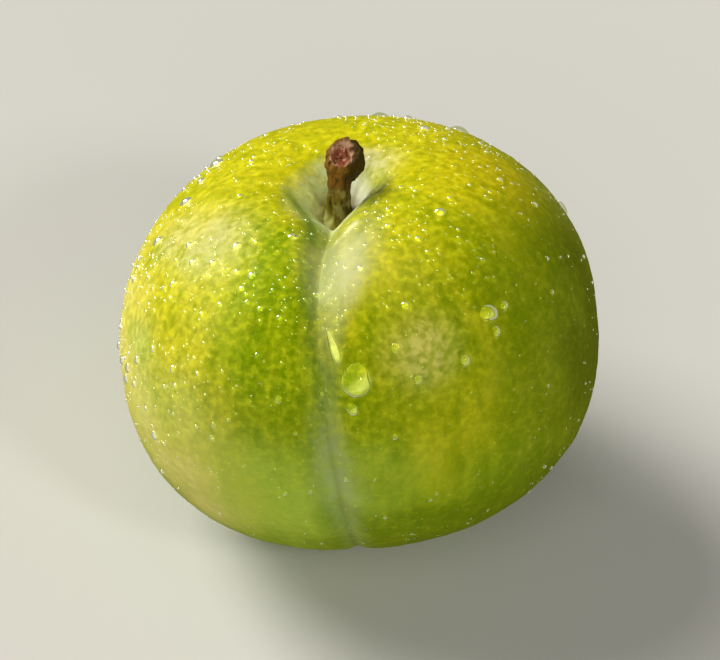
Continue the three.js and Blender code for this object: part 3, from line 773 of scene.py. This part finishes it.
def skin_material():
    n = Nodes("plum_skin")
    own = n.attribute("own_mm", True)
    streak = n.attribute("streak_mm", True)

    # broad patches, streaks down the fruit, flecks under the skin and finer grain
    patches = n.noise(own, 0.11, 3, 0.55)
    streaks = n.noise(streak, 0.55, 5, 0.6, 0.3)
    flecks = n.noise(own, 1.05, 4, 0.62, 0.35)
    mottle = n.noise(own, 1.50, 2, 0.45, 0.25)
    grain = n.noise(own, 4.6, 3, 0.6)
    lively = n.attribute("lively")

    def uneven(weight, amount):
        """A zone's weight, broken up by patches and streaks where it is neither full nor absent."""
        edge = n.math("MULTIPLY", n.math("MULTIPLY", weight, n.math("SUBTRACT", 1.0, weight)), 4.0)
        rough = n.math("ADD", n.math("MULTIPLY", n.math("SUBTRACT", patches, 0.5), amount), n.math("MULTIPLY", n.math("SUBTRACT", streaks, 0.5), amount))
        return n.math("ADD", weight, n.math("MULTIPLY", rough, n.math("ADD", edge, 0.15)), clamp=True)

    green = n.mix(n.step(streaks, 0.35, 0.68), (0.195, 0.300, 0.0010), (0.275, 0.375, 0.0020))
    ripe = n.mix(n.step(streaks, 0.38, 0.66), (0.500, 0.478, 0.0030), (0.585, 0.530, 0.0060))
    color = n.mix(uneven(n.attribute("yellow"), 0.7), green, ripe)
    color = n.mix(n.attribute("golden"), color, (0.620, 0.500, 0.0030))
    color = n.mix(n.math("MULTIPLY", uneven(n.attribute("olive"), 0.5), 0.85), color, (0.186, 0.255, 0.0006))
    color = n.mix(n.math("MULTIPLY", uneven(n.attribute("pale"), 0.4), 0.74), color, (0.412, 0.585, 0.0680))
    # painted shade low down, just above where the fruit rests
    color = n.mix(n.math("MULTIPLY", n.attribute("deep"), 0.75), color, (0.120, 0.200, 0.0006))
    some = n.math("ADD", n.math("MULTIPLY", lively, 0.60), 0.40)
    color = n.mix(n.math("MULTIPLY", some, n.step(flecks, 0.47, 0.70, 0.0, 0.36)), color, (0.540, 0.570, 0.0080))
    color = n.mix(n.math("MULTIPLY", some, n.step(flecks, 0.46, 0.30, 0.0, 0.24)), color, (0.150, 0.225, 0.0010))
    # painted shade on the far right cheek
    color = n.mix(n.math("MULTIPLY", n.attribute("right_cheek_painted_shade"), 0.60), color, (0.085, 0.125, 0.0004))
    # painted shade on the cavity's right wall
    color = n.mix(n.math("MULTIPLY", n.attribute("cavity_shade"), 0.55), color, (0.200, 0.260, 0.0100))
    # painted light makes the far left creamier, and painted shade makes the left wall of the suture deeper green
    color = n.mix(uneven(n.attribute("sunlit_left_painted_light"), 0.4), color, (0.720, 0.640, 0.080))
    # painted light, creamiest low on the far left
    color = n.mix(uneven(n.attribute("low_left_painted_light"), 0.4), color, (0.830, 0.760, 0.225))
    # painted shade in the suture's crease
    color = n.mix(n.math("MULTIPLY", n.attribute("crease_painted_shade"), 0.84), color, (0.120, 0.235, 0.0040))
    # the mottling: lighter and darker spots a little over a millimetre apart
    lighter = n.mix(1.0, color, (0.200, 0.190, 0.0060), "ADD")
    darker = n.mix(1.0, color, (0.560, 0.700, 0.500), "MULTIPLY")
    color = n.mix(n.math("MULTIPLY", n.step(mottle, 0.500, 0.670), n.math("MULTIPLY", lively, 0.64)), color, lighter)
    color = n.mix(n.math("MULTIPLY", n.step(mottle, 0.490, 0.335), n.math("MULTIPLY", lively, 0.54)), color, darker)
    color = n.mix(n.step(grain, 0.52, 0.76, 0.0, 0.20), color, (0.600, 0.610, 0.0120))
    # lenticels: small pale dots of several sizes, some faint
    dots = None
    for scale, size, strength in ((1.00, 0.155, 0.62), (1.75, 0.150, 0.50), (2.60, 0.140, 0.30)):
        cell = n.new("ShaderNodeTexVoronoi", {"voronoi_dimensions": "3D", "feature": "F1"}, Vector=own, Scale=scale, Randomness=1.0)
        split = n.new("ShaderNodeSeparateColor", Color=cell.outputs["Color"])
        radius = n.math("MULTIPLY", n.math("ADD", n.math("MULTIPLY", split.outputs[0], 0.9), 0.25), size)
        dot = n.step(n.math("DIVIDE", cell.outputs["Distance"], radius), 1.25, 0.35)
        dot = n.math("MULTIPLY", dot, n.math("MULTIPLY", n.math("ADD", n.math("MULTIPLY", split.outputs[1], 0.8), 0.2), strength))
        dots = dot if dots is None else n.math("MAXIMUM", dots, dot)
    color = n.mix(dots, color, (0.640, 0.650, 0.0700))
    # where a large drop gathers the light on the skin, and where it takes it from
    gathered = n.attribute("drop_light")
    color = n.mix(n.math("MAXIMUM", gathered, 0.0), color, n.mix(1.0, color, (0.420, 0.440, 0.170), "ADD"))
    color = n.mix(n.math("MAXIMUM", n.math("MULTIPLY", gathered, -1.0), 0.0), color, n.mix(1.0, color, (0.40, 0.48, 0.40), "MULTIPLY"))
    # bloom, wiped off in places
    veil = n.step(n.noise(own, 0.33, 4, 0.6), 0.52, 0.75, 0.0, 0.030)
    wiped = n.step(n.noise(own, 0.8, 4, 0.7, 0.6), 0.30, 0.62, 0.35, 1.0)
    cavity = n.math("MULTIPLY", n.math("MULTIPLY", n.attribute("bloom_cavity"), 0.86), wiped)
    stripe = n.math("MULTIPLY", n.math("MULTIPLY", n.attribute("bloom_stripe"), 0.78), wiped)
    low_veil = n.math("MULTIPLY", n.attribute("pale"), 0.04)
    # bloom left on, with painted highlights in the first three patches
    bloom_and_painted_highlight = n.math("MULTIPLY", n.attribute("haze"), n.step(n.math("ADD", n.math("MULTIPLY", mottle, 0.6), n.math("MULTIPLY", flecks, 0.4)), 0.38, 0.60, 0.35, 1.25))
    whiter = n.step(n.new("ShaderNodeSeparateXYZ", Vector=own).outputs[0], 6.5, 4.0)
    color = n.mix(bloom_and_painted_highlight, color, n.mix(whiter, (0.800, 0.740, 0.220), (0.680, 0.640, 0.430)))
    # bloom and a painted highlight on the suture's right lip
    lip = n.math("MULTIPLY", n.math("MULTIPLY", n.attribute("lip_bloom_painted_highlight"), 0.84), n.math("ADD", n.math("MULTIPLY", wiped, 0.6), 0.4))
    color = n.mix(lip, color, (0.505, 0.545, 0.285))
    # painted light and shade on the lip: a painted highlight where the value is positive, painted shade where it is
    # negative
    lit = n.attribute("lip_painted_light_shade")
    color = n.mix(n.math("MAXIMUM", lit, 0.0), color, (0.980, 0.960, 0.520))
    color = n.mix(n.math("MAXIMUM", n.math("MULTIPLY", lit, -1.0), 0.0), color, n.mix(1.0, color, (0.52, 0.55, 0.42), "MULTIPLY"))
    bloom = n.math("MAXIMUM", cavity, n.math("ADD", veil, low_veil), clamp=True)
    # bloom, whiter on the cavity's left wall as painted light where the wall is in shade
    film = n.mix(n.attribute("bloom_left_painted_light"), (0.620, 0.720, 0.400), (0.800, 0.930, 0.480))
    color = n.mix(bloom, color, n.mix(n.math("MULTIPLY", n.attribute("bloom_cavity"), 8.0, clamp=True), (0.620, 0.720, 0.060), film))
    color = n.mix(n.math("MULTIPLY", n.attribute("bloom_deep"), 0.72), color, (0.800, 0.810, 0.680))
    color = n.mix(stripe, color, (0.360, 0.440, 0.185))
    # painted shade in the suture's groove
    color = n.mix(n.math("MULTIPLY", n.attribute("groove_painted_shade"), 0.60), color, (0.110, 0.170, 0.0200))
    # painted shade along the fold in the cavity's right wall
    color = n.mix(n.math("MULTIPLY", n.attribute("fold_painted_shade"), 0.74), color, (0.115, 0.150, 0.0150))
    # painted shade along the fold by the cavity's left rim
    color = n.mix(n.attribute("rim_painted_shade"), color, (0.130, 0.235, 0.0150))
    bloom = n.math("MAXIMUM", n.math("MAXIMUM", bloom, stripe), n.math("MAXIMUM", bloom_and_painted_highlight, n.math("MULTIPLY", lip, 0.5)))
    # corky ring round the stem, and the style's scar
    color = n.mix(n.math("MULTIPLY", n.attribute("core_ring"), n.step(flecks, 0.35, 0.6, 0.35, 0.8)), color, (0.300, 0.230, 0.080))
    color = n.mix(n.math("MULTIPLY", n.attribute("style_spot"), 0.75), color, (0.560, 0.500, 0.330))

    rough = n.math("ADD", n.math("MULTIPLY", bloom, 0.32), n.step(flecks, 0.3, 0.7, 0.28, 0.40))

    # low pebbles with a soft grain over them
    cell = n.voronoi(own, 0.95)
    height = n.math("ADD", n.math("MULTIPLY", n.math("MULTIPLY", cell, cell), -0.045), n.math("MULTIPLY", n.noise(own, 1.5, 1, 0.4), 0.050))
    height = n.math("ADD", height, n.math("MULTIPLY", grain, 0.007))
    height = n.math("ADD", height, n.math("MULTIPLY", dots, 0.014))
    height = n.math("ADD", height, n.math("MULTIPLY", n.noise(own, 11.0, 2, 0.6), 0.0035))
    bump = n.new("ShaderNodeBump", Strength=1.0, Distance=MM, Height=height)

    s = n.new("ShaderNodeBsdfPrincipled")
    n.set(s, "Base Color", color)
    n.set(s, "Roughness", rough)
    n.set(s, "IOR", 1.42)
    n.set(s, "Specular IOR Level", 0.30)
    n.set(s, "Specular Tint", (1.0, 0.96, 0.12))
    n.set(s, "Normal", bump.outputs[0])
    n.set(s, "Subsurface Weight", 0.20)
    s.inputs["Subsurface Radius"].default_value = (1.0, 0.85, 0.10)
    n.set(s, "Subsurface Scale", 2.0 * MM)
    n.tree.links.new(s.outputs[0], n.out.inputs[0])
    return n.material


def stem_material():
    n = Nodes("plum_stem")
    own = n.attribute("own_mm", True)
    around = n.attribute("round_mm", True)
    along = n.attribute("along")
    scar = n.attribute("scar")
    fibres = n.noise(n.attribute("round_mm", True), 3.2, 5, 0.65, 0.4)
    grain = n.noise(own, 5.0, 4, 0.65)
    coarse = n.noise(own, 1.3, 3, 0.6)
    # green-brown at the foot, red-brown at the swollen end
    bark = n.mix(n.step(n.math("ADD", along, n.math("MULTIPLY", n.math("SUBTRACT", coarse, 0.5), 0.5)), 0.25, 0.72), (0.200, 0.168, 0.014), (0.265, 0.118, 0.014))
    bark = n.mix(n.step(fibres, 0.44, 0.68), bark, (0.044, 0.028, 0.006))
    bark = n.mix(n.step(grain, 0.56, 0.74, 0.0, 0.70), bark, (0.400, 0.250, 0.100))
    # painted shade: darker on the right side, most of all towards the swollen end
    position = n.new("ShaderNodeSeparateXYZ", Vector=around)
    stem_right_painted_shade = n.math("MULTIPLY", n.step(n.math("ADD", position.outputs[0], n.math("MULTIPLY", n.math("SUBTRACT", coarse, 0.5), 1.4)), 0.0, 0.8), n.step(along, 0.50, 0.72, 0.52, 0.90))
    bark = n.mix(stem_right_painted_shade, bark, (0.034, 0.023, 0.002))
    # grey-green patches low on the shaft
    bark = n.mix(n.math("MULTIPLY", n.step(n.noise(own, 0.9, 2, 0.5), 0.47, 0.60, 0.0, 0.75), n.step(along, 0.62, 0.48)), bark, (0.300, 0.262, 0.078))
    # paler on the left of the flare at the foot
    flare = n.math("MULTIPLY", n.step(along, 0.17, 0.07), n.step(position.outputs[0], -0.20, -0.80))
    bark = n.mix(n.math("MULTIPLY", flare, 0.85), bark, (0.560, 0.570, 0.180))
    # the broken end
    face = n.mix(n.step(grain, 0.38, 0.66), (0.155, 0.040, 0.015), (0.340, 0.104, 0.044))
    face = n.mix(n.step(n.noise(own, 1.9, 3, 0.6), 0.52, 0.66, 0.0, 0.70), face, (0.250, 0.090, 0.030))
    face = n.mix(n.step(n.noise(own, 2.6, 2, 0.6), 0.58, 0.68, 0.0, 0.8), face, (0.680, 0.400, 0.300))
    face = n.mix(n.step(n.noise(own, 2.3, 3, 0.6), 0.58, 0.68, 0.0, 0.9), face, (0.055, 0.018, 0.008))
    color = n.mix(scar, bark, face)
    pale_edge = n.math("MULTIPLY", n.attribute("scar_ring"), n.step(n.noise(own, 1.6, 2, 0.5), 0.42, 0.60, 0.10, 0.90))
    color = n.mix(pale_edge, color, (0.640, 0.380, 0.240))
    height = n.math("ADD", n.math("MULTIPLY", fibres, 0.09), n.math("MULTIPLY", grain, 0.05))
    bump = n.new("ShaderNodeBump", Strength=0.9, Distance=MM, Height=height)
    s = n.new("ShaderNodeBsdfPrincipled")
    n.set(s, "Base Color", color)
    n.set(s, "Roughness", n.step(fibres, 0.3, 0.7, 0.60, 0.88))
    n.set(s, "IOR", 1.45)
    n.set(s, "Specular IOR Level", 0.22)
    n.set(s, "Normal", bump.outputs[0])
    n.tree.links.new(s.outputs[0], n.out.inputs[0])
    return n.material


def water_material():
    n = Nodes("water")
    own = n.new("ShaderNodeTexCoord").outputs["Object"]
    ripple = n.noise(own, 900.0, 2, 0.5)
    bump = n.new("ShaderNodeBump", Strength=0.25, Distance=0.02 * MM, Height=ripple)
    s = n.new("ShaderNodeBsdfPrincipled")
    n.set(s, "Base Color", (0.985, 1.0, 0.99))
    n.set(s, "Roughness", 0.0)
    n.set(s, "IOR", 1.333)
    n.set(s, "Specular IOR Level", 0.34)
    n.set(s, "Transmission Weight", 1.0)
    n.set(s, "Normal", bump.outputs[0])
    clear = n.new("ShaderNodeBsdfTransparent")
    path = n.new("ShaderNodeLightPath")
    both = n.new("ShaderNodeMixShader")
    n.tree.links.new(path.outputs["Is Shadow Ray"], both.inputs[0])
    n.tree.links.new(s.outputs[0], both.inputs[1])
    n.tree.links.new(clear.outputs[0], both.inputs[2])
    n.tree.links.new(both.outputs[0], n.out.inputs[0])
    return n.material


def floor_material():
    n = Nodes("stage_floor")
    own = n.new("ShaderNodeTexCoord").outputs["Object"]
    tone = n.noise(own, 6.0, 3, 0.5)
    s = n.new("ShaderNodeBsdfPrincipled")
    n.set(s, "Base Color", n.mix(n.step(tone, 0.3, 0.7), (0.590, 0.590, 0.580), (0.610, 0.610, 0.600)))
    n.set(s, "Roughness", 0.95)
    n.set(s, "IOR", 1.35)
    n.set(s, "Specular IOR Level", 0.15)
    n.tree.links.new(s.outputs[0], n.out.inputs[0])
    return n.material


water_look = water_material()
for obj, material in ((fruit, skin_material()), (stem, stem_material()), (drops, water_look), (haze, water_look)):
    obj.data.materials.clear()
    obj.data.materials.append(material)
    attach(obj, "root")
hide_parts("fruit")
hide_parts("stem")


# ----------------------------------------------------------- floor and light

reach = 30.0
floor = make_mesh("stage_floor", [(-reach, -reach, 0), (reach, -reach, 0), (reach, reach, 0), (-reach, reach, 0)], [(0, 1, 2, 3)], smooth=False)
floor.data.materials.append(floor_material())
floor.visible_glossy = False   # so the skin's edges stay green where they would mirror the pale floor


def sun(name, direction, strength, spread, color=(1, 1, 1)):
    """Distant light from a direction; spread is its width in degrees, so a wide one is soft."""
    data = bpy.data.lights.new(name, "SUN")
    data.energy = strength
    data.angle = math.radians(spread)
    data.color = color
    light = bpy.data.objects.new(name, data)
    bpy.context.scene.collection.objects.link(light)
    d = Vector(direction).normalized()
    light.location = TARGET + d * 0.8
    light.rotation_euler = d.to_track_quat("Z", "Y").to_euler()
    return light


WARM = (1.0, 0.965, 0.88)
key = sun("key", (-0.60, 0.36, 0.71), 2.10, 34, WARM)
key.visible_glossy = False
sun("key_window", (-0.66, 0.61, 0.44), 1.90, 25, WARM)
fill = sun("front", (-0.10, -0.80, 0.60), 0.85, 60, WARM)
fill.visible_glossy = False
sun("front_window", (0.52, -0.58, 0.62), 0.60, 10, WARM)

# the room: dim where it lights, warmer in the skin's gloss, warm and paler in a drop, as pale as the floor where it's seen
world = bpy.data.worlds.new("studio")
bpy.context.scene.world = world
world.use_nodes = True
tree = world.node_tree
tree.nodes.clear()
room, on_skin, mirrored, seen = (tree.nodes.new("ShaderNodeBackground") for _ in range(4))
room.inputs[0].default_value, room.inputs[1].default_value = (1, 0.985, 0.90, 1), 0.12
on_skin.inputs[0].default_value, on_skin.inputs[1].default_value = (1, 0.985, 0.10, 1), 0.12
mirrored.inputs[0].default_value, mirrored.inputs[1].default_value = (0.400, 0.405, 0.215, 1), 1.0
seen.inputs[0].default_value, seen.inputs[1].default_value = (0.677, 0.655, 0.588, 1), 1.0
path, out = tree.nodes.new("ShaderNodeLightPath"), tree.nodes.new("ShaderNodeOutputWorld")
first, in_drop = tree.nodes.new("ShaderNodeMath"), tree.nodes.new("ShaderNodeMath")
first.operation, in_drop.operation = "SUBTRACT", "MULTIPLY"
first.use_clamp = True
first.inputs[0].default_value = 1.0
tree.links.new(path.outputs["Diffuse Depth"], first.inputs[1])
tree.links.new(path.outputs["Is Singular Ray"], in_drop.inputs[0])
tree.links.new(first.outputs[0], in_drop.inputs[1])
gloss, lit, pick = (tree.nodes.new("ShaderNodeMixShader") for _ in range(3))
tree.links.new(path.outputs["Is Glossy Ray"], gloss.inputs[0])
tree.links.new(room.outputs[0], gloss.inputs[1])
tree.links.new(on_skin.outputs[0], gloss.inputs[2])
tree.links.new(in_drop.outputs[0], lit.inputs[0])
tree.links.new(gloss.outputs[0], lit.inputs[1])
tree.links.new(mirrored.outputs[0], lit.inputs[2])
tree.links.new(path.outputs["Is Camera Ray"], pick.inputs[0])
tree.links.new(lit.outputs[0], pick.inputs[1])
tree.links.new(seen.outputs[0], pick.inputs[2])
tree.links.new(pick.outputs[0], out.inputs[0])

bpy.context.scene.view_settings.view_transform = "Standard"
bpy.context.scene.view_settings.look = "None"
bpy.context.scene.view_settings.exposure = 0.0

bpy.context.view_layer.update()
for obj in (fruit, stem, drops, haze):
    print(obj.name, len(obj.data.loops) - 2 * len(obj.data.polygons), "triangles")
